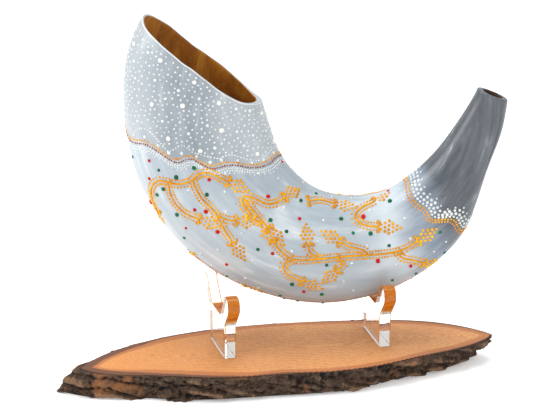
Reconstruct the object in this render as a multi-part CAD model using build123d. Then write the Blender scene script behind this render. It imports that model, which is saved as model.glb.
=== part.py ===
"""A painted ram's-horn shofar lying on its display stand, in millimetres.

The stand is a slice of log with its bark on, and two clear acrylic cradles bonded to it. The horn
lies loose on the cradles. The origin is the centre of the slice's flat underside: +X runs along the
slice, from the horn's bell to its mouthpiece, +Y runs to the back, and +Z is up.
"""

import math
import os

from build123d import *

# --- the slice of log ---------------------------------------------------------------------------
SLICE_THICKNESS = 16.0
# The outside of the bark on the upper face, from the left tip to the right tip and back again.
FRONT_OUTLINE = [
    (-146, -9), (-128, -25), (-98, -34), (-60, -47), (-10, -51), (42, -51), (76, -40), (112, -28),
    (139, -12), (146, -3),
]
BACK_OUTLINE = [
    (146, -3), (137, 11), (110, 34), (64, 48), (12, 54), (-46, 52), (-90, 39), (-126, 16), (-146, -9),
]
# The log was sawn on a slant: the upper outline lies this far from the one underneath.
SLANT = Vector(13, -4, 0)
# The wood inside the bark has the same outline, smaller, and moved because the bark is thicker at
# the front and left.
WOOD_SHARE = (0.96, 0.89, 1)
WOOD_SHIFT = Vector(1.5, 2, 0)
# The bark is cracked through at both ends of the slice, on this line.
BARK_CRACK_Y = -4.0
BARK_CRACK = 1.0

# --- the acrylic cradles ------------------------------------------------------------------------
ACRYLIC = 8.0
CRADLE_X = {"left": -41.5, "right": 64.0}
# They were set down by hand, so each is turned a little, in degrees.
CRADLE_TURN = {"left": 3.0, "right": 1.0}
CRADLE_Y = 11.0
FOOT_DEPTH = 40.0
POLISHED_EDGE = 0.4
BOND = 0.3
# Side outline, as (distance behind the foot's front face, height, corner radius).
CRADLE_OUTLINE = [
    (0, 0, 0),
    (0, 22, 5),
    (-12.5, 35, 7),
    (-12.5, 44.6, 5.5),
    (-2.5, 44.6, 4),
    (9.5, 27.4, 5),
    (33.5, 27.4, 6),
    (48, 42.6, 1),
    (54, 42.6, 1),
    (54, 36, 4),
    (FOOT_DEPTH, 22.5, 5),
    (FOOT_DEPTH, 0, 0),
]

# --- the horn -----------------------------------------------------------------------------------
# The horn is drawn in its own upright plane, with x along the plane, y to its back and z up.
HORN_CENTRE = Vector(13.5, 27, -0.25)
HORN_YAW = 13.0
# Each rib runs straight across the horn, from the inside of its curl to the outside:
# inside x, inside z, outside x, outside z, depth from front to back, drift to the back, and the
# share of the rib that is hollow.
RIBS = [
    (116, 190, 136, 182, 18, -7, 0),
    (105.5, 170, 133, 161.5, 20, -6, 0),
    (92.5, 150, 125, 137, 25, -4.5, 0),
    (81.5, 137, 118, 112, 30, -3, 0),
    (70.5, 127, 109.5, 90, 34, -2, 0.48),
    (55.5, 117.5, 87.5, 65.5, 36.5, -1, 0.62),
    (38, 114, 55, 47, 40, 0, 0.73),
    (21, 115.5, 11, 39.5, 44, 0, 0.80),
    (5, 123, -35, 50, 46, 1.5, 0.85),
    (-7, 135, -70, 70.5, 47, 3, 0.88),
    (-14.5, 148.5, -100.5, 109.5, 48, 4, 0.90),
    (-20, 165.5, -112.5, 143.5, 49, 5, 0.91),
    (-25, 182, -116, 180, 50, 6, 0.92),
    (-31, 203, -112, 212, 50, 7, 0.92),
    (-39, 226, -99, 238, 48, 8, 0.92),
    (-47, 243, -85, 251, 46, 9, 0.92),
]
SQUARENESS = 2.35  # 2 would make each rib an ellipse, and more makes it squarer
OVAL_POINTS = 16
# The bell is sawn off on a slant, so the ribs above this plane are waste.
BELL_CUT_POINT = Vector(-65, 0, 203)
BELL_CUT_NORMAL = Vector(0.62, -0.10, 0.78)
BELL_LIP_POINT = Vector(-39, -12, 180)  # the mouth's low end is cut flatter, above this second plane only
BELL_LIP_NORMAL = Vector(0.15, 0, 1)
BELL_WASTE = 140.0

# The mouthpiece: a cup at the tip, and a straight hole drilled from it to the hollow.
BORE_RADIUS = 4.0
BORE_LENGTH = 68.0
BORE_AIMS_AT_RIB = 3
CUP_RADIUS = 7.0
CUP_DEPTH = 12.0
HOLLOW_END_RADIUS = 5.0


def rib_middle(rib):
    inside_x, inside_z, outside_x, outside_z, _, drift, _ = rib
    return Vector((inside_x + outside_x) / 2, drift, (inside_z + outside_z) / 2)


def rib_across(rib):
    """From the middle of a rib to the outside of the curl."""
    inside_x, inside_z, outside_x, outside_z = rib[:4]
    return Vector(outside_x - inside_x, 0, outside_z - inside_z) / 2


def squared(value):
    """A cosine or sine, pushed out towards the square that SQUARENESS asks for."""
    return math.copysign(abs(value) ** (2 / SQUARENESS), value)


def oval(middle, across, deep):
    """A flat oval face, from its middle and its two half-sizes as vectors."""
    turns = [2 * math.pi * i / OVAL_POINTS for i in range(OVAL_POINTS)]
    points = [middle + across * squared(math.cos(a)) + deep * squared(math.sin(a)) for a in turns]
    return Face(Wire([Spline(*points, periodic=True)]))


def rib_face(rib, share=1.0):
    return oval(rib_middle(rib), rib_across(rib) * share, Vector(0, rib[4] / 2 * share, 0))


def make_horn():
    tip = rib_middle(RIBS[0])
    drilled = (rib_middle(RIBS[BORE_AIMS_AT_RIB]) - tip).normalized()
    from_tip = Plane(origin=tip, z_dir=drilled)
    inward = (Align.CENTER, Align.CENTER, Align.MIN)
    outward = (Align.CENTER, Align.CENTER, Align.MAX)
    bore = from_tip * Cylinder(BORE_RADIUS, BORE_LENGTH + 1, align=inward)
    cup = from_tip * Cone(CUP_RADIUS, BORE_RADIUS, CUP_DEPTH, align=inward)
    cup += from_tip * Cylinder(CUP_RADIUS, CUP_DEPTH, align=outward)

    hollow_end = tip + drilled * BORE_LENGTH
    end_plane = Plane(origin=hollow_end, x_dir=rib_across(RIBS[BORE_AIMS_AT_RIB]), z_dir=drilled)
    end_face = oval(hollow_end, end_plane.x_dir * HOLLOW_END_RADIUS, end_plane.y_dir * HOLLOW_END_RADIUS)
    hollow = loft([end_face] + [rib_face(rib, rib[-1]) for rib in RIBS if rib[-1]])

    block = Box(*[BELL_WASTE] * 3, align=inward)
    waste = Plane(origin=BELL_CUT_POINT, z_dir=BELL_CUT_NORMAL) * block
    waste &= Plane(origin=BELL_LIP_POINT, z_dir=BELL_LIP_NORMAL) * block

    horn = loft([rib_face(rib) for rib in RIBS]) - hollow - bore - cup - waste
    return Pos(*HORN_CENTRE) * Rot(0, 0, -HORN_YAW) * horn


def make_cradle():
    """A cradle cut from acrylic sheet, standing on its bond."""
    outline = Polyline([(back, height) for back, height, _ in CRADLE_OUTLINE], close=True)
    face = Face(Wire(outline.edges()))
    for back, height, radius in CRADLE_OUTLINE:
        if radius:
            corner = min(face.vertices(), key=lambda v: abs(v.X - back) + abs(v.Y - height))
            face = face.fillet_2d(radius, [corner])
    plate = extrude(face, ACRYLIC, dir=(0, 0, 1))
    plate = chamfer(plate.faces().filter_by(Axis.Z).edges(), POLISHED_EDGE)
    stand_up = Plane(origin=(-ACRYLIC / 2, -FOOT_DEPTH / 2, BOND), x_dir=(0, 1, 0), z_dir=(1, 0, 0))
    return stand_up * plate


def make_bond():
    """The film of clear adhesive under a cradle."""
    edge = 2 * POLISHED_EDGE
    return Box(ACRYLIC - edge, FOOT_DEPTH - edge, BOND, align=(Align.CENTER, Align.CENTER, Align.MIN))


def sawn_slice(outline):
    """The stretch of log between the two sawn faces, from its outline at the height of the upper one."""
    along = SLANT + Vector(0, 0, SLICE_THICKNESS)
    return Pos(*-SLANT) * extrude(outline, along.length, dir=along.normalized())


def make_slice():
    """The wood, and the bark in front of and behind its two cracks."""
    outline = Face(Wire([Spline(*FRONT_OUTLINE), Spline(*BACK_OUTLINE)]))
    wood_outline = Pos(*WOOD_SHIFT) * scale(outline, by=WOOD_SHARE)
    bark = sawn_slice(outline - wood_outline)
    front_side = Plane(origin=(0, BARK_CRACK_Y - BARK_CRACK / 2, 0), z_dir=(0, -1, 0))
    back_side = Plane(origin=(0, BARK_CRACK_Y + BARK_CRACK / 2, 0), z_dir=(0, 1, 0))
    bark_front = split(bark, bisect_by=front_side, keep=Keep.TOP)
    bark_back = split(bark, bisect_by=back_side, keep=Keep.TOP)
    return sawn_slice(wood_outline), bark_front, bark_back


def main():
    os.makedirs("parts", exist_ok=True)
    wood, bark_front, bark_back = make_slice()
    parts = {"horn": make_horn(), "wood_slice": wood, "bark_front": bark_front, "bark_back": bark_back}
    for side in CRADLE_X:
        place = Pos(CRADLE_X[side], CRADLE_Y, SLICE_THICKNESS) * Rot(0, 0, CRADLE_TURN[side])
        parts[f"acrylic_cradle_{side}"] = place * make_cradle()
        parts[f"bond_{side}"] = place * make_bond()
    for name, part in parts.items():
        export_step(part, f"parts/{name}.step")


if __name__ == "__main__":
    main()
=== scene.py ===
"""A painted shofar on two acrylic cradles and a slice of wood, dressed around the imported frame."""

import math
import random

import bpy
import numpy as np
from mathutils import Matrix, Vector, noise
from mathutils.bvhtree import BVHTree


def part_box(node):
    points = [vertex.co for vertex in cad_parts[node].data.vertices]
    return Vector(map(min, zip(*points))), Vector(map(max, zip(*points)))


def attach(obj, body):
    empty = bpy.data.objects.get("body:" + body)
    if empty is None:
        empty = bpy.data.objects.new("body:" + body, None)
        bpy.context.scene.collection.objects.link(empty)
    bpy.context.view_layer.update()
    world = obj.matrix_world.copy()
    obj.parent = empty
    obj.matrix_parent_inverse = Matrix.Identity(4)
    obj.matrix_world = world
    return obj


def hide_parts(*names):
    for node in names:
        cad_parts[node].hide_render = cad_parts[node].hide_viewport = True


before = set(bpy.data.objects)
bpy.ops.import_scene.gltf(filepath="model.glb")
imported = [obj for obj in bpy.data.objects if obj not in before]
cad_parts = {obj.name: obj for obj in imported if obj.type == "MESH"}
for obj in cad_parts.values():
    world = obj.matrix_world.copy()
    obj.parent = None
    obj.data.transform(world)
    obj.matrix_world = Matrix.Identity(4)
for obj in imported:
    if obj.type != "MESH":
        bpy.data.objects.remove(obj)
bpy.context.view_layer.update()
scene = bpy.context.scene

MM = 0.001
random.seed(7)

# The horn curls around CURL_CENTRE in an upright plane that is turned a little to the side.
# A place on it is a turn (degrees around the curl: 0 bell side, 90 lowest, 180 tip side)
# and a girth (degrees around the horn: 0 inside of the curl, 90 front, 180 outside, 270 back).
YAW = math.radians(13)
ALONG = np.array((math.cos(YAW), -math.sin(YAW), 0.0))
BEHIND = np.array((math.sin(YAW), math.cos(YAW), 0.0))
UP = np.array((0.0, 0.0, 1.0))
CURL_CENTRE = np.array((38.0, 21.5, 180.0)) * MM
CURL_RADIUS = 98 * MM
TWIST_START, TWIST_RATE = 5.9 * MM, 0.0704 * MM
REACH = 75 * MM

HORN_ORIGIN = np.array((13.5, 27.0, -0.25)) * MM


def of_horn(x, y, z):
    """A direction or offset along the horn's own axes."""
    return x * ALONG + y * BEHIND + z * UP


def straight(vector):
    return vector / np.linalg.norm(vector)


# The mouth is cut by one slanted plane, and flatter by a second one at its low end.
MOUTH_NORMAL = straight(of_horn(.62, -.10, .78))
MOUTH_POINT = HORN_ORIGIN + of_horn(-65, 0, 203) * MM
LIP_NORMAL = straight(of_horn(.15, 0, 1))
LIP_POINT = HORN_ORIGIN + of_horn(-39, -12, 180) * MM
LIP_BLEND = 2.5 * MM
TIP_NORMAL = straight(of_horn(.371, 0, .928))
BORE_AXIS = np.array((0.36839, -0.14633, 0.91808))
TIP_MIDDLE = np.array((134.696, -8.164, 185.75)) * MM
BORE_RADIUS, BORE_LENGTH = 4 * MM, 68 * MM
CUP_RADIUS, CUP_DEPTH = 7 * MM, 12 * MM
HOLLOW_END_TURN = 142
# (turn, share of the horn's radius that is hollow)
HOLLOW_SHARE = [(-40, .955), (0, .95), (15, .925), (50, .87), (66, .85), (85, .80), (102, .73),
                (118, .62), (130, .50), (150, .40)]
# Flutes sunk in the neck and the tip: (girth, depth in mm).
FLUTES = ((110, .7), (140, 1.0), (66, .25), (250, .6), (222, .9))
FLUTE_WIDTH, FLUTES_START, FLUTES_FULL = 5.0, 146, 168

TURN_STEP, GIRTH_STEP = 2.0, 7.5
TURNS = np.arange(-34.0, 191.0, TURN_STEP)
GIRTHS = np.arange(0.0, 360.0, GIRTH_STEP)
CUT_MARGIN, THINNEST = 0.3 * MM, 4 * MM


def tree(*names):
    """One search tree over some CAD nodes."""
    corners, faces = [], []
    for name in names:
        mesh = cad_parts[name].data
        start = len(corners)
        corners += [v.co.copy() for v in mesh.vertices]
        faces += [[start + v for v in p.vertices] for p in mesh.polygons]
    return BVHTree.FromPolygons(corners, faces)


def column(values):
    return np.asarray(values, float)[..., None]


def unit(vectors):
    return vectors / np.linalg.norm(vectors, axis=-1, keepdims=True)


def radial(turn):
    """The direction from the middle of the curl at a turn."""
    t = np.radians(column(turn))
    return -np.cos(t) * ALONG - np.sin(t) * UP


def spine(turn):
    """The middle of the horn at a turn."""
    drift = TWIST_START - TWIST_RATE * column(turn)
    return CURL_CENTRE + radial(turn) * CURL_RADIUS + BEHIND * drift


def outward(turn, girth):
    """The direction from the spine to a place on the horn."""
    g = np.radians(column(girth))
    return -np.cos(g) * radial(turn) - np.sin(g) * BEHIND


def over_planes(points):
    """How far points are over each of the bell's two cuts."""
    return (points - MOUTH_POINT) @ MOUTH_NORMAL, (points - LIP_POINT) @ LIP_NORMAL


def over_mouth(points, blend=0.0):
    """How far points are over both cuts of the bell, with a soft corner between them."""
    a, b = over_planes(points)
    return (a + b - np.sqrt((a - b)**2 + blend**2)) / 2


def rim_normal(points):
    """The direction out of the bell's rim, turning slowly from one cut to the other."""
    a, b = over_planes(points)
    share = (.5 + .5 * (a - b) / np.sqrt((a - b)**2 + (3 * LIP_BLEND)**2))[:, None]
    return unit(MOUTH_NORMAL * (1 - share) + LIP_NORMAL * share)


def over_tip(points):
    """How far points are over the tip's face."""
    return (points - TIP_MIDDLE) @ TIP_NORMAL


def measure_horn():
    """The horn's radius over the grid of turns and girths, from the CAD node."""
    horn = tree("horn")
    grid = np.full((len(TURNS), len(GIRTHS)), np.nan)
    for i, turn in enumerate(TURNS):
        middle = spine(turn)
        for j, girth in enumerate(GIRTHS):
            out = outward(turn, girth)
            hit = horn.ray_cast(Vector(middle + out * REACH), Vector(-out), REACH)[0]
            if hit is None:
                continue
            place = np.array(hit)
            size = (place - middle) @ out
            on_mouth = place[0] < 0 and over_mouth(place) > -CUT_MARGIN
            if size > THINNEST and not on_mouth and over_tip(place) < -CUT_MARGIN:
                grid[i, j] = size
    # past the cuts the horn goes on with the slope that it has there
    for j in range(len(GIRTHS)):
        known = np.flatnonzero(~np.isnan(grid[:, j]))
        first, last = known[0], known[-1]
        low = (grid[first + 3, j] - grid[first, j]) / 3
        high = (grid[last, j] - grid[last - 3, j]) / 3
        before, after = np.arange(first, 0, -1), np.arange(1, len(TURNS) - last)
        grid[:first, j] = np.maximum(grid[first, j] - low * before, THINNEST)
        grid[last + 1:, j] = grid[last, j] + high * after
        filled = ~np.isnan(grid[:, j])
        grid[:, j] = np.interp(TURNS, TURNS[filled], grid[filled, j])
    for _ in range(2):
        padded = np.vstack([2 * grid[:1] - grid[1:2], grid, 2 * grid[-1:] - grid[-2:-1]])
        grid = (padded[:-2] + 2 * padded[1:-1] + padded[2:]) / 4
        grid = (np.roll(grid, 1, 1) + 2 * grid + np.roll(grid, -1, 1)) / 4
    return grid


GRID = measure_horn()


def weights(f):
    """Catmull-Rom weights of four neighbours, a share f past the second."""
    return (-.5 * f**3 + f**2 - .5 * f, 1.5 * f**3 - 2.5 * f**2 + 1,
            -1.5 * f**3 + 2 * f**2 + .5 * f, .5 * f**3 - .5 * f**2)


def smooth(value, low, high):
    """A smooth step from 0 at low to 1 at high."""
    t = np.clip((np.asarray(value, float) - low) / (high - low), 0, 1)
    return t * t * (3 - 2 * t)


def radius(turn, girth):
    """The horn's radius at places on it."""
    turn, girth = np.broadcast_arrays(np.asarray(turn, float), np.asarray(girth, float))
    a = np.clip((turn - TURNS[0]) / TURN_STEP, 1, len(TURNS) - 2.01)
    b = (girth % 360) / GIRTH_STEP
    i, j = np.floor(a).astype(int), np.floor(b).astype(int)
    total = 0.0
    for di, wi in zip((-1, 0, 1, 2), weights(a - i)):
        for dj, wj in zip((-1, 0, 1, 2), weights(b - j)):
            total = total + wi * wj * GRID[i + di, (j + dj) % len(GIRTHS)]
    flutes = sum(depth * np.exp(-(((girth % 360) - at) / FLUTE_WIDTH)**2) for at, depth in FLUTES)
    return total - flutes * MM * smooth(turn, FLUTES_START, FLUTES_FULL)


def surface(turn, girth):
    """Places on the horn as points."""
    return spine(turn) + outward(turn, girth) * column(radius(turn, girth))


def normals(turn, girth):
    """The directions out of the horn at places on it."""
    turn, girth = np.asarray(turn, float), np.asarray(girth, float)
    du = surface(turn + .4, girth) - surface(turn - .4, girth)
    dv = surface(turn, girth + .8) - surface(turn, girth - .8)
    n = unit(np.cross(du, dv))
    return n * np.sign((n * outward(turn, girth)).sum(-1, keepdims=True))


def coordinates(points):
    """(turn, girth) of points near the horn's surface."""
    v = points - CURL_CENTRE
    x, z = v @ ALONG, v @ UP
    turn = (np.degrees(np.arctan2(-z, -x)) + 90) % 360 - 90
    side = v @ BEHIND - (TWIST_START - TWIST_RATE * turn)
    return turn, np.degrees(np.arctan2(-side, CURL_RADIUS - np.hypot(x, z))) % 360


HALVINGS = 40


def end_turns(wall, over, low, high):
    """Where each line along a wall crosses a cut, between two turns."""
    low, high = np.full(AROUND, float(low)), np.full(AROUND, float(high))
    start = over(wall(low)) > 0
    for _ in range(HALVINGS):
        middle = (low + high) / 2
        same = (over(wall(middle)) > 0) == start
        low, high = np.where(same, middle, low), np.where(same, high, middle)
    return (low + high) / 2


def lengths(points):
    """How far along a line each of its points is."""
    return np.concatenate([[0], np.cumsum(np.linalg.norm(np.diff(points, axis=0), axis=1))])


def quads(rows, columns, closed=True, flip=False):
    """Faces over rows of corners, each row a ring, and the last joined to the first if closed."""
    faces = []
    for i in range(rows if closed else rows - 1):
        j = (i + 1) % rows
        for k in range(columns):
            m = (k + 1) % columns
            face = (i * columns + k, j * columns + k, j * columns + m, i * columns + m)
            faces.append((face[0], face[3], face[2], face[1]) if flip else face)
    return faces


# ---- materials

def srgb(*values):
    """A linear colour from 8-bit values."""
    return tuple(round((c / 12.92 if c <= .04045 else ((c + .055) / 1.055)**2.4), 5)
                 for c in (v / 255 for v in values)) + (1.0,)


class Look:
    """A node material, built with short calls."""

    def __init__(self, name, rough=0.5, **sockets):
        self.material = bpy.data.materials.new(name)
        self.material.use_nodes = True
        self.nodes = self.material.node_tree.nodes
        self.links = self.material.node_tree.links
        self.shader = self.nodes["Principled BSDF"]
        self.shader.inputs["Roughness"].default_value = rough
        for socket, value in sockets.items():
            self.shader.inputs[socket.replace("_", " ")].default_value = value

    def put(self, kind, inputs=(), output=0, **settings):
        """One output of a new node, whose inputs are set, or joined to other outputs."""
        node = self.nodes.new("ShaderNode" + kind)
        for key, value in settings.items():
            setattr(node, key, value)
        for socket, value in dict(inputs).items():
            if isinstance(value, bpy.types.NodeSocket):
                self.links.new(value, node.inputs[socket])
            else:
                node.inputs[socket].default_value = value
        return node.outputs[output]

    def place(self, scale=(1, 1, 1), of=None, turned=(0, 0, 0)):
        """Coordinates from the object, or from another socket, stretched by scale."""
        start = of or self.put("TexCoord", output="Object")
        return self.put("Mapping", {"Vector": start, "Scale": scale, "Rotation": turned})

    def axis(self, vector, number):
        return self.put("SeparateXYZ", {"Vector": vector}, number)

    def attribute(self, name, output="Fac"):
        return self.put("Attribute", output=output, attribute_name=name)

    def noise(self, scale, detail=4.0, rough=0.55, at=None, warp=0.0):
        return self.put("TexNoise", {"Vector": at or self.place(), "Scale": scale,
                                               "Detail": detail, "Roughness": rough,
                                               "Distortion": warp}, "Fac")

    def grain(self, stretch, at, detail, rough, warp=0.0):
        """Noise that is finer along some axes than along others."""
        return self.noise(1.0, detail, rough, self.place(stretch, at), warp)

    def cells(self, scale, at=None):
        inputs = {"Vector": at or self.place(), "Scale": scale}
        return self.put("TexVoronoi", inputs, "Distance")

    def ramp(self, value, *stops):
        """A colour ramp with stops of (position, 8-bit values)."""
        output = self.put("ValToRGB", {"Fac": value}, "Color")
        elements = output.node.color_ramp.elements
        while len(elements) < len(stops):
            elements.new(0.5)
        for element, (position, shade) in zip(elements, stops):
            element.position = position
            element.color = srgb(*shade)
        return output

    def mix(self, factor, a, b):
            return self.put("Mix", {0: factor, 6: a, 7: b}, 2, data_type="RGBA")

    def math(self, how, a, b=0.0):
        return self.put("Math", {0: a, 1: b}, operation=how)

    def times(self, a, b):
        return self.math("MULTIPLY", a, b)

    def tint(self, colour, *coats):
        """The colour under coats of (mask, strength, 8-bit values)."""
        for mask, strength, shade in coats:
            colour = self.mix(self.times(mask, strength), colour, srgb(*shade))
        return colour

    def span(self, value, low, high, to_low=0.0, to_high=1.0):
        """A smooth step from to_low to to_high."""
        inputs = {"Value": value, "From Min": low, "From Max": high,
                  "To Min": to_low, "To Max": to_high}
        return self.put("MapRange", inputs, interpolation_type="SMOOTHSTEP")

    def finish(self, colour, rough=None, height=None, bump=0.3, depth=0.2 * MM):
        """Joins the looks to the shader: bump is the strength of a relief of some depth."""
        for socket, value in (("Base Color", colour), ("Roughness", rough)):
            if value is not None:
                self.links.new(value, self.shader.inputs[socket])
        if height is not None:
            inputs = {"Height": height, "Strength": bump, "Distance": depth}
            self.links.new(self.put("Bump", inputs), self.shader.inputs["Normal"])
        return self.material


def painted_horn_look():
    """Grey paint brushed on along the horn: bell, body, neck and dark tip."""
    look = Look("painted_horn", 0.4, Specular_IOR_Level=0.45, Coat_Weight=0.2, Coat_Roughness=0.22)
    flat = look.attribute("unrolled", "Vector")
    zone, neck = look.attribute("band_turn"), look.attribute("neck_turn")
    girth = look.attribute("girth")
    broad = look.grain((16, 30, 30), flat, 3, .5, .6)
    brush = look.grain((30, 190, 190), flat, 5, .6, .3)
    fine = look.grain((140, 900, 900), flat, 4, .7, .2)
    cloth = look.grain((45, 60, 60), flat, 3, .5, 1.0)
    body = look.ramp(look.mix(.42, broad, brush), (.34, (140, 151, 161)), (.46, (154, 165, 174)),
                     (.56, (166, 177, 184)), (.68, (190, 198, 203)))
    # painted highlight: the body gets lighter toward the outside of the curl, the lower belly, where
    # the light falls
    body = look.tint(body, (look.span(girth, 145, 180), .3, (198, 205, 209)))
    bell = look.ramp(look.mix(.5, cloth, brush), (.34, (124, 133, 141)), (.52, (139, 148, 155)),
                     (.68, (160, 168, 173)))
    # painted highlight: the bell gets lighter toward the outside and the inside of the curl, its
    # sides that turn away from the front
    pale = look.math("ADD", look.times(look.span(girth, 105, 165), .4),
                     look.times(look.span(girth, 75, 25), .5))
    bell = look.mix(pale, bell, srgb(196, 202, 206))
    blue = look.ramp(brush, (.35, (108, 121, 136)), (.6, (138, 150, 163)))
    dark = look.ramp(brush, (.34, (66, 71, 78)), (.5, (80, 86, 93)), (.68, (100, 107, 115)))
    ragged = look.times(look.math("SUBTRACT", broad, .5), 22.0)
    low_side = look.times(look.math("SUBTRACT", girth, 80), .11)
    neck_ragged = look.math("ADD", look.math("ADD", neck, ragged), low_side)
    colour = look.mix(look.span(zone, -1.2, 1.0), bell, body)
    colour = look.tint(colour, (look.span(neck, -34, -14), .55, (203, 213, 219)))
    colour = look.mix(look.span(neck_ragged, -15, -1), colour, blue)
    colour = look.mix(look.span(neck_ragged, -1.5, 9), colour, dark)
    specks = look.span(look.cells(150, flat), .09, .05)
    rare = look.span(look.noise(60, 1, .5, flat), .62, .7)
    colour = look.tint(colour, (look.span(neck, 16, 44), .3, (84, 87, 92)),
                       (look.span(brush, .6, .74), .3, (226, 231, 234)),
                       (look.times(specks, rare), .65, (70, 66, 62)))
    rough = look.span(look.mix(.5, brush, fine), .3, .7, .3, .48)
    height = look.mix(.35, brush, fine)
    return look.finish(colour, rough, height, .22, .25 * MM)


def bare_horn_look():
    """The unpainted inside: brown, with fibres along the horn and pale dust, darker deeper in the
    hollow and near black toward the tip as painted shade.
    """
    look = Look("bare_horn", 0.6, Specular_IOR_Level=0.35)
    flat = look.attribute("unrolled", "Vector")
    fibre = look.grain((60, 700, 700), flat, 5, .65, .4)
    grit = look.noise(900, 3, .6, flat)
    stain = look.grain((40, 60, 60), flat, 4, .6, .8)
    colour = look.ramp(look.mix(.3, stain, fibre), (.3, (112, 58, 0)), (.48, (154, 90, 8)),
                       (.6, (178, 114, 24)), (.75, (200, 140, 48)))
    deep = look.attribute("depth")
    # the first and the last coat are painted shade: darker deeper in the hollow, and near black on
    # the tip side of the hollow, in the cup and in the bore
    colour = look.tint(colour, (look.span(deep, .0, .3), .45, (70, 40, 16)),
                       (look.span(grit, .58, .7), .4, (206, 158, 92)),
                       (look.span(deep, 1, 2), .85, (34, 26, 22)))
    gloss = look.span(grit, .3, .7, .6, .85)
    return look.finish(colour, gloss, look.mix(.5, fibre, grit), .5, .4 * MM)


def thick_paint_look(name, low, middle, high):
    """Raised acrylic paint in one colour, a little uneven in tone."""
    rough = .38
    look = Look(name, rough, Specular_IOR_Level=0.22)
    tone = look.noise(380, 4, .65)
    patch = look.noise(55, 3, .5)
    colour = look.ramp(look.mix(.5, tone, patch), (.36, low), (.5, middle), (.64, high))
    gloss = look.span(tone, .3, .7, rough - .08, rough + .14)
    return look.finish(colour, gloss, tone, .25, .15 * MM)


def wood_look():
    """The sanded top of the slice: long grain, soft rings, pores, and a redder band by the bark."""
    look = Look("sawn_wood", 0.5, Specular_IOR_Level=0.35, Coat_Weight=0.08, Coat_Roughness=0.35)
    here = look.place()
    wobble = look.noise(22, 3, .5, here)
    to_bark = look.attribute("to_bark")
    edge = look.math("ADD", to_bark, look.times(look.math("SUBTRACT", wobble, .5), .009))
    years = look.math("SINE", look.times(edge, 2300.0))
    grain = look.grain((48, 560, 300), here, 5, .7, .15)
    fleck = look.grain((320, 1100, 900), here, 3, .6)
    clouds = look.grain((13, 26, 22), here, 4, .55, .5)
    rings = look.times(look.math("ADD", years, 1), .5)
    tone = look.mix(.35, look.mix(.55, grain, clouds), rings)
    tone = look.mix(.55, tone, fleck)
    colour = look.ramp(tone, (.28, (166, 100, 50)), (.42, (194, 128, 74)), (.53, (212, 148, 90)),
                       (.7, (236, 176, 114)))
    left = look.span(look.axis(here, 0), .0, -.11)
    far_left = look.span(look.axis(here, 0), -.055, -.125)
    saw = look.noise(1.0, 3, .6, look.place((1900, 90, 300), here, (0, 0, .6)), .2)
    band = look.math("SUBTRACT", edge, look.times(left, .0035))
    crust = look.math("SUBTRACT", edge, look.times(far_left, .0055))
    specks = look.span(look.cells(1, look.place((26, 60, 40), here)), .075, .045)
    pores = look.span(look.cells(1, look.place((240, 900, 600), here)), .13, .06)
    colour = look.tint(colour, (left, .55, (228, 146, 66)),
                       (look.span(saw, .54, .66), .35, (240, 186, 124)),
                       (look.span(band, .0085, .0055), .7, (168, 94, 46)),
                       (look.span(crust, .0032, .0012), .85, (84, 50, 32)),
                       (look.span(to_bark, .0009, .0002), 1, (62, 38, 26)),
                       (look.span(fleck, .58, .7), .4, (146, 86, 46)),
                       (specks, .7, (98, 62, 44)), (pores, .3, (120, 74, 46)))
    gloss = look.span(grain, .3, .7, .42, .6)
    return look.finish(colour, gloss, look.mix(.4, saw, fleck), .35, .2 * MM)


def bark_look():
    """Furrowed bark: red brown and grey flakes, near black in the cracks, partly its own colour and
    partly painted shade, and tan on the ridges as a painted highlight.
    """
    look = Look("bark", 0.85, Specular_IOR_Level=0.25)
    here = look.place()
    ridge = look.attribute("ridge")
    lump = look.noise(120, 5, .65, here, .5)
    grit = look.noise(900, 4, .7, here)
    patch = look.noise(38, 3, .55, here, .3)
    colour = look.ramp(look.mix(.5, lump, grit), (.32, (30, 20, 14)), (.45, (58, 42, 31)),
                       (.57, (86, 68, 54)), (.72, (138, 118, 100)))
    # the last two coats: a painted highlight on the ridges, and near black in the cracks, partly the
    # bark's own colour and partly painted shade
    colour = look.tint(colour, (look.span(patch, .56, .7), .5, (160, 104, 62)),
                       (look.span(grit, .6, .7), .35, (172, 150, 126)),
                       (look.span(ridge, .7, .97), .4, (158, 122, 92)),
                       (look.span(ridge, .52, .2), 1, (18, 11, 8)))
    gloss = look.span(grit, .3, .7, .75, .95)
    return look.finish(colour, gloss, look.mix(.5, lump, grit), .9, .9 * MM)


# The acrylic's cut edges get a painted amber reflection of the wood between these heights, and in
# front of this stretch of depth.
PAINTED_GLOW_HEIGHTS, PAINTED_GLOW_DEPTHS = (40 * MM, 44 * MM), (27 * MM, 20 * MM)


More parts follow.
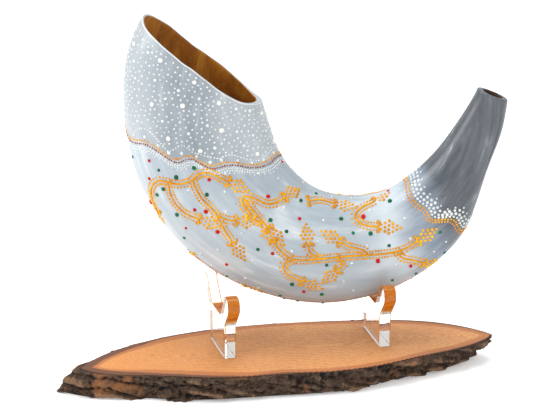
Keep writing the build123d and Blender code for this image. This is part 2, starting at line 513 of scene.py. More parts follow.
def acrylic_look():
    """Clear cast acrylic with laser-cut edges and faint handling marks, and a painted amber
    reflection of the wood on its cut edges.
    """
    look = Look("clear_acrylic", 0.03, IOR=1.33, Specular_IOR_Level=0.5)
    smear = look.noise(60, 4, .6, look.place(), .8)
    here = look.place()
    cut = look.grain((60, 60, 1400), here, 2, .5)
    rough = look.span(smear, .42, .75, .015, .09)
    # the cut edges of the hook and the notch get a painted amber reflection of the wood's warm
    # light, and let less light through there
    facing = look.put("TexCoord", output="Normal")
    side = look.math("ABSOLUTE", look.axis(facing, 0))
    painted_glow = look.times(look.span(side, .8, .5), look.span(look.axis(here, 1), *PAINTED_GLOW_DEPTHS))
    painted_glow = look.times(painted_glow, look.span(look.axis(here, 2), *PAINTED_GLOW_HEIGHTS))
    streak = look.grain((70, 110, 420), here, 3, .6, .3)
    painted_glow = look.times(painted_glow, look.span(streak, .36, .62, .4, .85))
    # and its polished corners get a faint painted glint of the same amber
    corner = look.times(look.span(side, .95, .88), look.span(side, .5, .6))
    painted_glow = look.math("MAXIMUM", painted_glow, look.times(corner, .4))
    amber = look.mix(look.span(streak, .4, .6), srgb(232, 148, 48), srgb(184, 96, 10))
    colour = look.mix(look.span(painted_glow, 0, .3), (.965, .945, .91, 1), amber)
    look.links.new(look.math("SUBTRACT", 1, painted_glow), look.shader.inputs["Transmission Weight"])
    return look.finish(colour, rough, look.mix(.6, smear, cut), .06, .08 * MM)


def glue_look():
    """The thin bond under a cradle, with small trapped bubbles."""
    look = Look("clear_adhesive", 0.12, Transmission_Weight=0.8, IOR=1.46)
    bubbles = look.span(look.cells(700), .3, .2)
    colour = look.mix(bubbles, srgb(226, 206, 180), srgb(250, 244, 236))
    return look.finish(colour, look.span(bubbles, 0, 1, .12, .4), bubbles, .3, .1 * MM)


def floor_look():
    """A plain pale studio floor."""
    look = Look("studio_floor", 0.8, Specular_IOR_Level=0.1, Emission_Strength=0.3)
    look.shader.inputs["Emission Color"].default_value = (1, 1, 1, 1)
    tone = look.noise(3, 2, .5)
    return look.finish(look.ramp(tone, (0, (250, 250, 250)), (1, (253, 253, 253))))


def new_piece(name, corners, faces, materials, body=None, smooth_faces=True):
    """A mesh object that moves with one body of the frame."""
    mesh = bpy.data.meshes.new(name)
    mesh.from_pydata([tuple(c) for c in corners], [], [tuple(f) for f in faces])
    mesh.update()
    piece = bpy.data.objects.new(name, mesh)
    scene.collection.objects.link(piece)
    for material in materials:
        mesh.materials.append(material)
    if smooth_faces:
        mesh.polygons.foreach_set("use_smooth", [True] * len(mesh.polygons))
    if body:
        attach(piece, body)
    return piece


def add_attribute(mesh, name, values, kind="FLOAT"):
    """One value (or vector) at each corner, for the looks."""
    data = mesh.attributes.new(name, kind, "POINT").data
    key = "vector" if kind == "FLOAT_VECTOR" else "value"
    data.foreach_set(key, np.asarray(values, np.float32).ravel())


# ---- the painted bands

# (girth, turn) of the band below the bell, and of the one at the neck
BAND = [(0, 45), (20, 41), (45, 31), (70, 26), (95, 21), (120, 18), (150, 12), (180, 7)]
NECK = [(0, 130), (30, 129), (55, 128), (85, 129), (110, 132), (135, 134), (180, 135)]


def ring_line(stations, girth, waves, height, phase):
    """The turn of a line around the horn, the same on both sides but for its waves."""
    girth = np.asarray(girth, float) % 360
    base = np.interp(np.minimum(girth, 360 - girth), *zip(*stations))
    return base + height * np.sin(np.radians(girth * waves + phase))


def band_turn(girth):
    """Where the band below the bell runs."""
    return ring_line(BAND, girth, 8, 1.1, 200)


def neck_turn(girth):
    """Where the band at the neck runs."""
    return ring_line(NECK, girth, 6, 1.0, 60)


# ---- the horn

AROUND = 176
ALONG_OUTSIDE, ALONG_HOLLOW, RIM_RINGS = 300, 170, 6
girths = np.arange(AROUND) * 360 / AROUND
RIM_DROP, BACK_DROP, EDGE_ROUND = 0.7 * MM, 1.6 * MM, 1.2 * MM
THICK_RIM = .035
BELL_TURNS, INNER_BELL_TURNS, TIP_TURNS = (-33, 40), (-33, 60), (150, 189)


def wavy(girth, seed, size):
    """A hand-made wobble around the rim."""
    return size * (.5 * np.sin(np.radians(girth * 3 + seed))
                   + .3 * np.sin(np.radians(girth * 7 + 2 * seed))
                   + .2 * np.sin(np.radians(girth * 13 + 5 * seed)))


def build_horn():
    """The horn's outside, tip, bore, hollow and rim as one closed skin of rings."""
    def outside(turn):
        return surface(turn, girths)

    def wall(turn):
        thicker = THICK_RIM * smooth(inner_side, .5, 1) * smooth(turn, 40, 15)
        share = np.interp(turn, *zip(*HOLLOW_SHARE)) - thicker
        return spine(turn) + outward(turn, girths) * column(radius(turn, girths) * share)

    def cut(points):
        return over_mouth(points, LIP_BLEND) + drop

    inner_side = np.cos(np.radians(girths))
    back = np.exp(-(((girths - 265) / 60)**2)) * smooth(inner_side, .9, .2)
    drop = RIM_DROP + wavy(girths, 40, .5 * MM) + BACK_DROP * back
    bell_end = end_turns(outside, cut, *BELL_TURNS)
    tip_end = end_turns(outside, lambda p: over_tip(p) + EDGE_ROUND, *TIP_TURNS)
    rings, turns, inside = [], [], []

    def ring(points, turn, bare):
        rings.append(points)
        turns.append(np.broadcast_to(turn, (AROUND,)))
        inside.append(bare)

    for s in np.linspace(0, 1, ALONG_OUTSIDE):
        turn = bell_end + (tip_end - bell_end) * s
        ring(surface(turn, girths), turn, 0)
    # the tip's rounded edge, its flat face and the cup
    edge = rings[-1]
    across = outward(tip_end, girths)
    across = unit(across - (across @ BORE_AXIS)[:, None] * BORE_AXIS)
    for angle in (25, 50, 75, 90):
        a = math.radians(angle)
        inward = across * EDGE_ROUND * (1 - math.cos(a))
        ring(edge - inward + TIP_NORMAL * EDGE_ROUND * math.sin(a), tip_end, 0)
    tip_face = rings[-1]
    cup_edge = TIP_MIDDLE + across * CUP_RADIUS
    sunk = (over_tip(cup_edge) + .05 * MM) / (BORE_AXIS @ TIP_NORMAL)
    cup_edge = cup_edge - BORE_AXIS * sunk[:, None]
    ring(tip_face * .4 + cup_edge * .6, tip_end, 0)
    ring(cup_edge, tip_end, 0)
    for s in np.linspace(0.04, 1, 9):
        r = CUP_RADIUS + (BORE_RADIUS - CUP_RADIUS) * s**.7
        ring(TIP_MIDDLE - BORE_AXIS * CUP_DEPTH * s + across * r, tip_end, 1)
    for s in np.linspace(0.05, 1, 26):
        depth = CUP_DEPTH + (BORE_LENGTH - CUP_DEPTH) * s
        ring(TIP_MIDDLE - BORE_AXIS * depth + across * BORE_RADIUS, tip_end - 25 * s, 1)
    # the hollow, back to the bell
    bore_end = rings[-1]
    hollow_end = np.full(AROUND, float(HOLLOW_END_TURN - 8))
    inner_bell = end_turns(wall, cut, *INNER_BELL_TURNS)
    first = wall(hollow_end)
    for f in smooth((.3, .6, .85), 0, 1):
        ring(bore_end * (1 - f) + first * f, hollow_end, 1)
    for s in np.linspace(0, 1, ALONG_HOLLOW):
        turn = hollow_end + (inner_bell - hollow_end) * s
        ring(wall(turn), turn, 1)
    # the rim, rounded over to the outside
    outer, inner = rings[0], rings[-1]
    for s in np.linspace(0, 1, RIM_RINGS + 2)[1:-1]:
        lift = rim_normal(outer) * (RIM_DROP * .75 * math.sin(math.pi * s))
        ring(inner * (1 - s) + outer * s + lift, bell_end, 0)
    count, corners = len(rings), np.vstack(rings)
    turn, girth = np.concatenate(turns), np.tile(girths, count)
    slots = [max(inside[i], inside[(i + 1) % count]) for i in range(count) for _ in range(AROUND)]
    looks = [painted_horn_look(), bare_horn_look()]
    piece = new_piece("horn_shell", corners, quads(count, AROUND), looks, "horn")
    mesh = piece.data
    mesh.polygons.foreach_set("material_index", slots)
    size, g = radius(turn, girth), np.radians(girth)
    flat = np.stack([np.radians(turn) * CURL_RADIUS, size * np.cos(g), size * np.sin(g)], 1)
    add_attribute(mesh, "unrolled", flat, "FLOAT_VECTOR")
    add_attribute(mesh, "band_turn", turn - band_turn(girth))
    add_attribute(mesh, "neck_turn", turn - neck_turn(girth))
    add_attribute(mesh, "girth", np.minimum(girth, 360 - girth))
    # how far below the mouth each corner is, for painted shade in the hollow; corners on the tip
    # side of the curl's middle, the cup and bore among them, get 2 for a near black painted shade
    depth = np.clip(-over_mouth(corners) / .25, 0, 1)
    add_attribute(mesh, "depth", np.where(corners[:, 0] > CURL_CENTRE[0], 2, depth))
    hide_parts("horn")
    return rings[0], bell_end


rim, bell_end = build_horn()


# ---- raised paint

CRADLES = tree("acrylic_cradle_left", "acrylic_cradle_right")
CLEAR_OF_CRADLE = 2.2 * MM
STROKE_SIDES, STROKE_HEIGHT, STROKE_ROOT = 8, .62, -.35
DOT_SIDES, DOT_TOP = 10, .56
DOT_PROFILE = ((1.0, -.25), (1.0, .05), (.8, .34), (.42, .5))


def clear_of_cradles(points):
    """Which points leave room for the cradles."""
    return [CRADLES.find_nearest(Vector(p), CLEAR_OF_CRADLE)[0] is None for p in points]


def circle(sides, spin=0.0):
    """Points on a unit circle."""
    return [(math.cos(2 * math.pi * k / sides + spin), math.sin(2 * math.pi * k / sides + spin))
            for k in range(sides)]


class Paint:
    """One colour of raised paint: dots and strokes, joined into one piece."""

    every = []

    def __init__(self, name, *tones):
        self.name, self.look = f"paint_{name}", thick_paint_look(f"{name}_paint", *tones)
        self.places, self.sizes = [], []
        self.corners, self.faces, self.count = [], [], 0
        Paint.every.append(self)

    def dot(self, turn, girth, size):
        self.places.append((turn, girth))
        self.sizes.append(size)

    def add(self, corners, faces):
        self.corners.append(corners)
        self.faces += [tuple(v + self.count for v in f) for f in faces]
        self.count += len(corners)

    def stroke(self, turns, girths, width, taper):
        """A half-round bead of paint along a line, sunk in the surface by half."""
        points, n = surface(turns, girths), normals(turns, girths)
        if not all(clear_of_cradles(points)):
            return
        t = unit(np.gradient(points, axis=0))
        side = unit(np.cross(n, t))
        n = np.cross(t, side)
        s = np.linspace(0, 1, len(points))
        ends = min(.3, 3 / len(points))
        start, stop = (low + (1 - low) * np.clip(share / ends, 0, 1)**.6
                       for low, share in zip(taper, (s, 1 - s)))
        wobble = 1 + .12 * np.array([noise.noise(Vector(p) * 420) for p in points])
        w = (width / 2 * np.minimum(start, stop) * wobble)[:, None]
        rings = [points + side * w * c + n * w * STROKE_HEIGHT * 2 * max(q, STROKE_ROOT)
                 for c, q in circle(STROKE_SIDES)]
        last = (len(points) - 1) * STROKE_SIDES
        caps = [tuple(range(STROKE_SIDES))[::-1], tuple(last + k for k in range(STROKE_SIDES))]
        self.add(np.stack(rings, 1).reshape(-1, 3),
                 caps + quads(len(points), STROKE_SIDES, False, True))

    def build(self):
        """Makes the piece from the strokes and the dots, each dot a low dome, a little oval."""
        places = np.array(self.places)
        points, n = surface(places[:, 0], places[:, 1]), normals(places[:, 0], places[:, 1])
        keep = clear_of_cradles(points)
        points, n, sizes = points[keep], n[keep], np.array(self.sizes)[keep]
        a = unit(np.cross(n, np.where(np.abs(n[:, 2:]) < .9, UP, ALONG)))
        b = np.cross(n, a)
        rows = len(DOT_PROFILE)
        rim = (rows - 1) * DOT_SIDES
        faces = [tuple(range(DOT_SIDES))[::-1]] + quads(rows, DOT_SIDES, False, True)
        faces += [(rim + k, rim + (k + 1) % DOT_SIDES, rows * DOT_SIDES) for k in range(DOT_SIDES)]
        for p, q, u, v, size in zip(points, n, a, b, sizes):
            stretch, spin = 1 + .14 * (random.random() - .5), random.random() * math.pi
            around = [u * x * stretch + v * (y / stretch) for x, y in circle(DOT_SIDES, spin)]
            corners = [p + out * size * r + q * size * h for r, h in DOT_PROFILE for out in around]
            self.add(np.array(corners + [p + q * size * DOT_TOP]), faces)
        piece = new_piece(self.name, np.vstack(self.corners), self.faces, [self.look], "horn")


white = Paint("white", (198, 203, 204), (213, 217, 217), (229, 231, 230))
cream = Paint("cream", (214, 214, 206), (230, 229, 222), (241, 240, 235))
gold = Paint("gold", (190, 122, 0), (216, 150, 0), (240, 186, 24))
copper = Paint("copper", (122, 58, 20), (148, 74, 30), (176, 98, 46))
orange = Paint("orange", (196, 122, 30), (216, 144, 44), (232, 172, 76))
red = Paint("red", (150, 0, 0), (180, 4, 2), (204, 12, 8))
green = Paint("green", (0, 72, 44), (0, 98, 62), (0, 122, 80))

# Points of the ornament, which the loose dots keep clear of.
taken = []


def track(points, step):
    """(turn, girth) places every step along a smooth line through the points."""
    p = np.array(points, float)
    p = np.vstack([2 * p[0] - p[1], p, 2 * p[-1] - p[-2]])
    f = np.linspace(0, 1, 24, endpoint=False)
    dense = [sum(w[:, None] * p[k - 1 + q] for q, w in enumerate(weights(f)))
             for k in range(1, len(p) - 2)]
    d = np.vstack(dense + [p[-2][None]])
    along = lengths(surface(d[:, 0], d[:, 1]))
    at = np.arange(0, along[-1], step)
    return np.interp(at, along, d[:, 0]), np.interp(at, along, d[:, 1])


def beside(turns, girths, gap, tangent):
    """Places moved across a line with known tangents, by a gap in metres."""
    side = unit(np.cross(normals(turns, girths), tangent))
    return coordinates(surface(turns, girths) + side * gap)


def round_row(paint, line, spacing, size, toward_tip=0.0, jitter=.12):
    """A row of dots around the horn, toward_tip away from a line, all in millimetres."""
    spacing, size, toward_tip = spacing * MM, size * MM, toward_tip * MM
    g = np.linspace(0, 360, 721)
    turns = line(g)
    rate = np.linalg.norm(surface(turns + .5, g) - surface(turns - .5, g), axis=1)
    turns = turns + toward_tip / rate
    along = lengths(surface(turns, g))
    at = np.arange(0, along[-1] - spacing * .6, spacing)
    at = at + np.array([random.uniform(-jitter, jitter) for _ in at]) * spacing
    for a, b in zip(np.interp(at, along, turns), np.interp(at, along, g)):
        paint.dot(a + random.uniform(-.08, .08), b, size * random.uniform(.86, 1.14))


def scallops(girth):
    """The dotted garland between the bell's dots and the band."""
    swing = np.abs(np.sin(np.radians(np.asarray(girth) * 5.5 + 30)))
    return band_turn(girth) - 2.2 - 2.2 * swing


def uneven_band(girth):
    """The band, with finer waves."""
    return band_turn(girth) + .3 * np.sin(np.radians(girth * 21))


round_row(gold, band_turn, 1.85, .68, -.2)
round_row(copper, band_turn, 1.7, .62, 2.1)
round_row(white, band_turn, 1.6, .6, 4.3)
round_row(white, band_turn, 1.65, .62, 6.1)
round_row(white, uneven_band, 3.4, .5, 7.8)
round_row(white, scallops, 2.1, .6)
round_row(white, lambda g: band_turn(g) - 1.6, 9.5, 1.1)

round_row(orange, neck_turn, 2.0, .72, -1.5, .07)
round_row(gold, neck_turn, 2.1, .8, .8, .07)
for offset, spacing, size in ((3.4, 2.5, .85), (5.9, 2.9, 1.05), (8.7, 3.3, 1.0), (11.4, 5.6, .62)):
    round_row(white, neck_turn, spacing, size, offset, .06)


def near(point, others, gap):
    """Whether any of the other points is within a gap of a point."""
    return len(others) and np.min(np.sum((np.asarray(others) - point)**2, axis=1)) < gap * gap


def bell_places(count):
    """Random places on the bell, between the rim and the garland, even over its area."""
    found = 0
    while found < count:
        g = random.uniform(0, 360)
        high = float(scallops(g)) - 1.3
        low = float(np.interp(g, girths, bell_end, period=360)) + 1.6
        t = random.uniform(-24, 44)
        if low < t < high and random.random() < float(radius(t, g)) / (60 * MM):
            found += 1
            yield t, g


# the bell: a few large dots, some middling, and many small ones with uneven gaps
chosen, large = np.zeros((0, 3)), []
for paint, count, gap, sizes in ((cream, 260, 17, (1.4, 1.85)), (white, 320, 9, (.95, 1.2)),
                                 (white, 16000, 2.75, (.54, .76))):
    for t, g in bell_places(count):
        p = surface(t, g)
        room = gap * MM * (random.uniform(.95, 1.3) if gap < 5 else 1)
        if near(p, chosen, room) or near(p, large, 2.9 * MM):
            continue
        paint.dot(t, g, random.uniform(*sizes) * MM)
        chosen = np.vstack([chosen, p])
        if paint is cream:
            large.append(p)


# ---- generic gold scrolls

STEP = .5 * MM
STEM, TWIG = 1.5 * MM, 1.35 * MM
BEAD, BEAD_GAP, BEAD_OFFSET = .76 * MM, 1.95 * MM, 2.4 * MM
GRAPE_GAP, GRAPE_LOOSE = 2.75 * MM, .2
HOOK_LEAVES = .45


def claim(turns, girths):
    """Keeps the loose dots away from these places."""
    taken.extend(surface(turns, girths))


def hook(place, heading, way, size=1.0):
    """A short twig that leaves a place and curls away to one side."""
    side = np.cross(normals(*place), heading)
    h = heading * math.cos(HOOK_LEAVES) + side * math.sin(HOOK_LEAVES) * way
    p, found = surface(*place), [place]
    for k in range(int(9 * size) + 3):
        n = normals(*coordinates(p))
        h = h - n * (h @ n)
        h /= np.linalg.norm(h)
        bend = math.radians(way * (3 + 2.2 * k))
        h = h * math.cos(bend) + np.cross(n, h) * math.sin(bend)
        t, g = coordinates(p + h * STEP)
        p = surface(t, g)
        found.append((float(t), float(g)))
    turns, girths_ = np.array(found).T
    gold.stroke(turns, girths_, TWIG * (.9 + .2 * size), (1, .7))
    claim(turns, girths_)


def grapes(place, heading, rows=(2, 3, 4, 3, 2, 1), start=3.1 * MM):
    """A bunch of dots beyond the end of a twig."""
    p, n = surface(*place), normals(*place)
    side = np.cross(n, heading)
    for k, number in enumerate(rows):
        for m in range(number):
            x = start + GRAPE_GAP * k * .92 + random.uniform(-GRAPE_LOOSE, GRAPE_LOOSE) * MM
            y = (m - (number - 1) / 2) * GRAPE_GAP + random.uniform(-GRAPE_LOOSE, GRAPE_LOOSE) * MM
            t, g = coordinates(p + heading * x + side * y)
            gold.dot(float(t), float(g), random.uniform(.9, 1.15) * MM)
            taken.append(surface(float(t), float(g)))


# the stems that get red, green and white dots beside them
lines = []


def stem(points, start="", width=STEM, accents=True):
    """A scroll's stem with a row of beads on both sides, its start, and a bunch at its end."""
    turns, girths_ = track(points, STEP)
    gold.stroke(turns, girths_, width, (.6, .8))
    claim(turns, girths_)
    p = surface(turns, girths_)
    every = int(round(BEAD_GAP / STEP))
    tangent = unit(np.gradient(p, axis=0))[::every]
    for way in (-1, 1):
        t, g = beside(turns[::every], girths_[::every], way * BEAD_OFFSET, tangent)
        for a, b in zip(t, g):
            gold.dot(a, b, BEAD * random.uniform(.85, 1.15))
        claim(t, g)
    first, last = ((float(turns[k]), float(girths_[k])) for k in (0, -1))
    for kind, place, heading in ((start, first, unit(p[0] - p[3])),
                                 ("bunch", last, unit(p[-1] - p[-4]))):
        if kind in ("fork", "bunch"):
            hook(place, heading, 1)
            hook(place, heading, -1)
        if kind == "bunch":
            grapes(place, heading)
        if kind in ("left", "right"):
            hook(place, heading, 1 if kind == "left" else -1, 1.5)
            grapes(place, heading, (2, 3, 2, 1), 4.0 * MM)
    if accents:
        lines.append((turns, girths_))


# One side's scrolls: the (turn, girth) places of each stem, and how it differs from a plain one.
SCROLLS = (
    ([(32, 166), (26, 159), (24, 146), (27, 130), (28, 114), (27, 97), (29, 80), (35, 67)], "left"),
    ([(25, 139), (31, 143), (36, 141), (40, 134)], "", TWIG),
    ([(28, 111), (35, 114), (41, 112), (47, 119), (53, 127)],),
    ([(43, 114), (47, 107), (49, 101)], "", TWIG),
    ([(52, 76), (47, 72), (45, 63), (49, 55), (55, 51), (59, 43), (61, 35)], "right"),
    ([(46, 64), (52, 69), (57, 74), (61, 79)],),
    ([(66, 97), (69, 105), (75, 112), (84, 104), (94, 100), (104, 107), (113, 116), (120, 115)],
     "bunch"),
    ([(75, 112), (72, 123), (74, 133), (79, 138)], "", TWIG),
    ([(84, 104), (80, 95), (79, 86)], "", TWIG),
    ([(102, 106), (100, 92), (95, 82), (92, 74)], "", TWIG),
    ([(90, 101), (93, 111), (91, 120)], "", TWIG),
    ([(112, 116), (113, 130), (116, 141), (118, 152)], "", TWIG),
    ([(110, 16), (103, 22), (99, 34), (102, 46), (108, 54)], "left"),
    ([(75, 24), (81, 18), (88, 18)], "fork", TWIG, False),
    ([(48, 170), (56, 176), (64, 171)], "fork", TWIG, False),
)
for points, *kind in SCROLLS:
    stem(points, *kind)
# the back has them too, as in a mirror, and a little shifted
for points, *kind in SCROLLS:
    stem([(t + 3 if t < 100 else t - 1, 360 - g) for t, g in points], *kind)

# copper beads along both lower sides
for side in (1, -1):
    for offset in (0, 3.2):
        line = [(46, 168 + offset), (66, 165 + offset), (92, 166 + offset), (118, 169 + offset)]
        for t, g in zip(*track(line, 1.7 * MM)):
            copper.dot(t, g if side > 0 else 360 - g, .5 * MM)

# red, green and white dots beside the scrolls
BESIDE = ((green, 1.45), (red, 1.5), (green, 1.35), (red, 1.35), (white, .95))
LOOSE = ((white, .8), (white, .7), (green, 1.3), (red, 1.15), (white, .75), (green, 1.15))
held, accents, order = np.array(taken), [], 0
for turns, girths_ in lines:
    tangent = unit(np.gradient(surface(turns, girths_), axis=0))
    for k in range(10, len(turns) - 4, 17):
        order += 1
        gap = (1 if order % 2 else -1) * random.uniform(4.0, 5.2) * MM
        t, g = beside(turns[k:k + 1], girths_[k:k + 1], gap, tangent[k:k + 1])
        p = surface(t, g)[0]
        if near(p, held, 1.9 * MM) or near(p, accents, 4.5 * MM):
            continue
        accents.append(p)
        paint, size = BESIDE[order % 5]
        paint.dot(float(t[0]), float(g[0]), size * random.uniform(.85, 1.15) * MM)
# and loose ones all over the body
for _ in range(900):
    g = random.uniform(0, 360)
    t = random.uniform(float(band_turn(g)) + 5, float(neck_turn(g)) - 3)
    p = surface(t, g)
    if near(p, held, 3.0 * MM) or near(p, accents, 8.5 * MM):
        continue
    accents.append(p)
    paint, size = random.choice(LOOSE)
    paint.dot(t, g, size * random.uniform(.85, 1.15) * MM)

for paint in Paint.every:
    paint.build()


def rim_line():
    """The thin white line around the bell's rim."""
    closed = np.vstack([rim, rim[:1]])
    along = lengths(closed)
    count, sides = 420, 8
    at = np.linspace(0, along[-1], count, endpoint=False)
    line = np.stack([np.interp(at, along, closed[:, k]) for k in range(3)], 1)
    n = normals(*coordinates(line))
    line = line - n * .25 * MM
    up = rim_normal(line)
    rings = [line + n * c * .38 * MM + up * q * .42 * MM for c, q in circle(sides)]
    corners, faces = np.stack(rings, 1).reshape(-1, 3), quads(count, sides)
    piece = new_piece("rim_line", corners, faces, [white.look], "horn")


rim_line()


# ---- the slice's bark

BARK_AROUND, BARK_LEVELS = 980, 26
CRACK_DEPTH, BARK_SOLID, BARK_SKIN = 8.5 * MM, .86, .1 * MM
BARK_ROUND, CHIP_MAX, UNDER_MAX = 1.2 * MM, 3 * MM, 3.5 * MM
STAND_OFF, SIGHT = .05, .16


def build_bark():
    """A furrowed ring of bark in place of the two plain CAD skins, cut inward only."""
    outer, inner = tree("bark_front", "bark_back", "wood_slice"), tree("wood_slice")
    low = np.minimum(*[np.array(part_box(n)[0]) for n in ("bark_front", "bark_back")])
    high = np.maximum(*[np.array(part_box(n)[1]) for n in ("bark_front", "bark_back")])
    centre, half = (low + high) / 2, (high - low) / 2
    dense = np.linspace(0, 2 * math.pi, 4001)
    ellipse = np.stack([half[0] * np.cos(dense), half[1] * np.sin(dense)], 1)
    along = lengths(ellipse)
    levels = BARK_LEVELS
    angles = np.interp(np.linspace(0, along[-1], BARK_AROUND, endpoint=False), along, dense)
    top, thick = high[2], high[2] - low[2]
    columns, ridges = [], []
    for angle in angles:
        out = Vector((math.cos(angle) / half[0], math.sin(angle) / half[1], 0)).normalized()
        x, y = centre[:2] + half[:2] * (math.cos(angle), math.sin(angle))
        edge = Vector((x, y, 0))
        line, marks = [], []
        for k in range(levels):
            f = k / (levels - 1)
            z = low[2] + thick * (.004 + .992 * f)
            start = edge + out * STAND_OFF + Vector((0, 0, z))
            a, b = (skin.ray_cast(start, -out, SIGHT)[0] for skin in (outer, inner))
            room = max((a - b).dot(out), .4 * MM)
            q = Vector((a.x, a.y, z))
            deep = Vector((q.x * 60, q.y * 60, z * 90))
            furrow = noise.ridged_multi_fractal(deep, 1.0, 2.1, 4, 1.0, 2.0)
            slant = q.x * 40 + q.y * 28
            # long plates that climb to one side
            plate = Vector((slant * .6 + .4 * furrow, q.y * 24, z * 122 + slant * .8))
            plates = noise.voronoi(plate)[0]
            crack = min(1.0, (plates[1] - plates[0]) * 2.2)
            rough = noise.fractal(q * 330, 1.0, 2.0, 4) * .5 + .5
            lump = noise.noise(q * 28) * .5 + .5
            high_part = .5 * crack + .32 * rough + .18 * lump
            depth = min(BARK_SKIN + max(0, BARK_SOLID - high_part) * CRACK_DEPTH, room * .9)
            rounding = BARK_ROUND * (max(0, 1 - f / .12)**2 + max(0, (f - .9) / .1)**2)
            line.append(a - out * min(depth + rounding, room * .92))
            marks.append(min(1.0, max(0.0, high_part * 1.25)))
        # chips broken off the upper and the lower edge
        chip, under = (
            max(0, noise.fractal(Vector((edge.x * 70, edge.y * 70, z)), 1.0, 2.0, 3) + more) * size
            for z, more, size in ((3.1, .25, 2.2 * MM), (9.7, .3, 2.6 * MM)))
        for k in range(levels):
            f = k / (levels - 1)
            line[k].z += -min(chip, CHIP_MAX) * f**4 + min(under, UNDER_MAX) * (1 - f)**3
        ends = []
        for level, inset in ((top, -1), (low[2], 1)):
            start = edge + out * STAND_OFF + Vector((0, 0, level + .1 * MM * inset))
            hit = inner.ray_cast(start, -out, SIGHT)[0]
            ends.append(Vector((hit.x, hit.y, level + .15 * MM * inset)) - out * .25 * MM)
        inside_top, inside_low = ends
        crest = line[-1] * .5 + inside_top * .5 + Vector((0, 0, .1 * MM * rough - .1 * MM))
        columns.append(line + [crest, inside_top, inside_low])
        ridges.append(marks + [.5, .25, .3])
    corners = [c for line in columns for c in line]
    faces = quads(BARK_AROUND, levels + 3)
    piece = new_piece("bark_ring", corners, faces, [bark_look()], "stand")
    add_attribute(piece.data, "ridge", [r for marks in ridges for r in marks])
    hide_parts("bark_front", "bark_back")


build_bark()


def build_wood():
    """The slice's sawn wood as a fine mesh that knows how far each place is from the bark."""
    slab = tree("wood_slice")
    low, high = (np.array(v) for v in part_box("wood_slice"))
    vertices = np.array([v.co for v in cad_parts["wood_slice"].data.vertices])
    stations, across = 240, 44
    share = (1 - np.cos(np.linspace(0, math.pi, stations))) / 2
    shares = ((1 - np.cos(np.linspace(0, math.pi, across))) / 2)[:, None]
    sheets, distances = [], []
    for level, inset in ((high[2], -.05 * MM), (low[2], .05 * MM)):
        here = vertices[np.abs(vertices[:, 2] - level) < .01 * MM]
        left, right = here[here[:, 0].argmin()], here[here[:, 0].argmax()]
        sides = []
        for way in (1, -1):
            line = []
            for s in share:
                x = left[0] + (right[0] - left[0]) * s
                beyond = low[1] - .02 if way > 0 else high[1] + .02
                start = Vector((x, beyond, level + inset))
                hit = slab.ray_cast(start, Vector((0, way, 0)), .2)[0]
                y = hit.y if hit else left[1] + (right[1] - left[1]) * s
                line.append((x, y, level))
            line[0], line[-1] = tuple(left), tuple(right)
            sides.append(np.array(line))
        sheet = sides[0][:, None] * (1 - shares) + sides[1][:, None] * shares
        edge = np.vstack(sides)[::2, :2]
        flat = sheet.reshape(-1, 3)
        gaps = np.concatenate([np.linalg.norm(part[:, None, :2] - edge[None], axis=2).min(axis=1)
                               for part in np.array_split(flat, 20)])
        sheets.append(flat)
        distances.append(gaps)
    corners, under, faces = np.vstack(sheets), stations * across, []
    for a in range(0, under - across, across):
        b = a + across
        for k in range(across - 1):
            face = (a + k, b + k, b + k + 1, a + k + 1)
            faces += [face, tuple(under + v for v in face[::-1])]
        faces.append((b, a, under + a, under + b))
        a, b = a + across - 1, b + across - 1
        faces.append((a, b, under + b, under + a))
    piece = new_piece("wood_slab", corners, faces, [wood_look()], "stand", False)
    add_attribute(piece.data, "to_bark", np.concatenate(distances))
    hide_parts("wood_slice")


def assign(node, material):
    """Gives a CAD node its look."""
    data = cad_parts[node].data
    data.materials.clear()
    data.materials.append(material)


GLUE_SIZE, GLUE_RAGGED, GLUE_THICK = .985, .012, .86


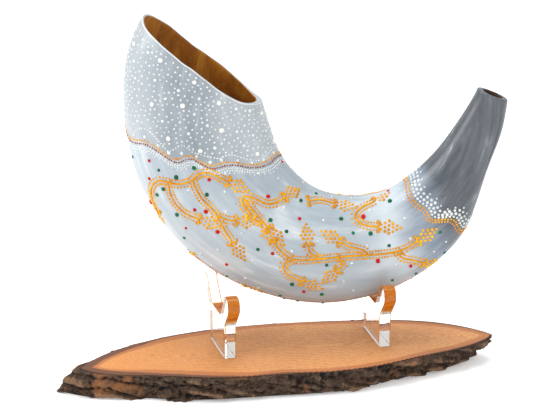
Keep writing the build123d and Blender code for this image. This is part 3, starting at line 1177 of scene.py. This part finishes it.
def build_glue(side, material):
    """The bond under one cradle, a hair clear of the faces it joins, with an uneven edge."""
    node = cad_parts[f"bond_{side}"].data
    low, high = (np.array(v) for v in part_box(f"bond_{side}"))
    centre = (low + high) / 2
    corners = []
    for v in node.vertices:
        p = np.array(v.co) - centre
        p[:2] *= GLUE_SIZE + GLUE_RAGGED * noise.noise(v.co * 300)
        p[2] *= GLUE_THICK
        corners.append(p + centre)
    faces = [p.vertices for p in node.polygons]
    piece = new_piece(f"glue_{side}", corners, faces, [material], "stand", False)
    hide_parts(f"bond_{side}")


build_wood()
acrylic, glue = acrylic_look(), glue_look()
for side in ("left", "right"):
    assign(f"acrylic_cradle_{side}", acrylic)
    build_glue(side, glue)


# ---- studio

def build_floor():
    """A wide floor in squares."""
    size, parts = 4.0, 12
    corners = [(x * size / parts, y * size / parts, 0) for y in range(-parts, parts + 1)
               for x in range(-parts, parts + 1)]
    row = 2 * parts + 1
    faces = [(j * row + i, j * row + i + 1, (j + 1) * row + i + 1, (j + 1) * row + i)
             for j in range(row - 1) for i in range(row - 1)]
    new_piece("studio_floor", corners, faces, [floor_look()])


def area_light(name, place, aim, size, watts):
    """A soft round light."""
    data = bpy.data.lights.new(name, "AREA")
    data.shape, data.size, data.energy = "DISK", size, watts
    lamp = bpy.data.objects.new(name, data)
    lamp.location = place
    lamp.rotation_euler = (Vector(aim) - Vector(place)).to_track_quat("-Z", "Y").to_euler()
    scene.collection.objects.link(lamp)


build_floor()
MIDDLE = (0.02, 0.02, 0.12)
area_light("key", (-1.15, -.35, .85), MIDDLE, .8, 11)
area_light("fill", (1.0, -.9, .7), MIDDLE, 1.0, 2.5)
area_light("top", (0.1, .25, 1.4), MIDDLE, .9, 9)

world = bpy.data.worlds.new("studio")
world.use_nodes = True
background = world.node_tree.nodes["Background"].inputs
background["Color"].default_value = (1, 1, 1, 1)
background["Strength"].default_value = 0.74
scene.world = world
scene.view_settings.view_transform = "Standard"

CAMERA_PLACE, CAMERA_AIM = Vector((-.2765, -1.2777, .5125)), Vector((.00182, .03185, .10315))
camera = bpy.data.objects.new("camera", bpy.data.cameras.new("camera"))
camera.data.lens, camera.data.sensor_width = 135, 36
camera.data.clip_end = 20
camera.location = CAMERA_PLACE
camera.rotation_euler = (CAMERA_AIM - CAMERA_PLACE).to_track_quat("-Z", "Y").to_euler()
scene.collection.objects.link(camera)
scene.camera = camera
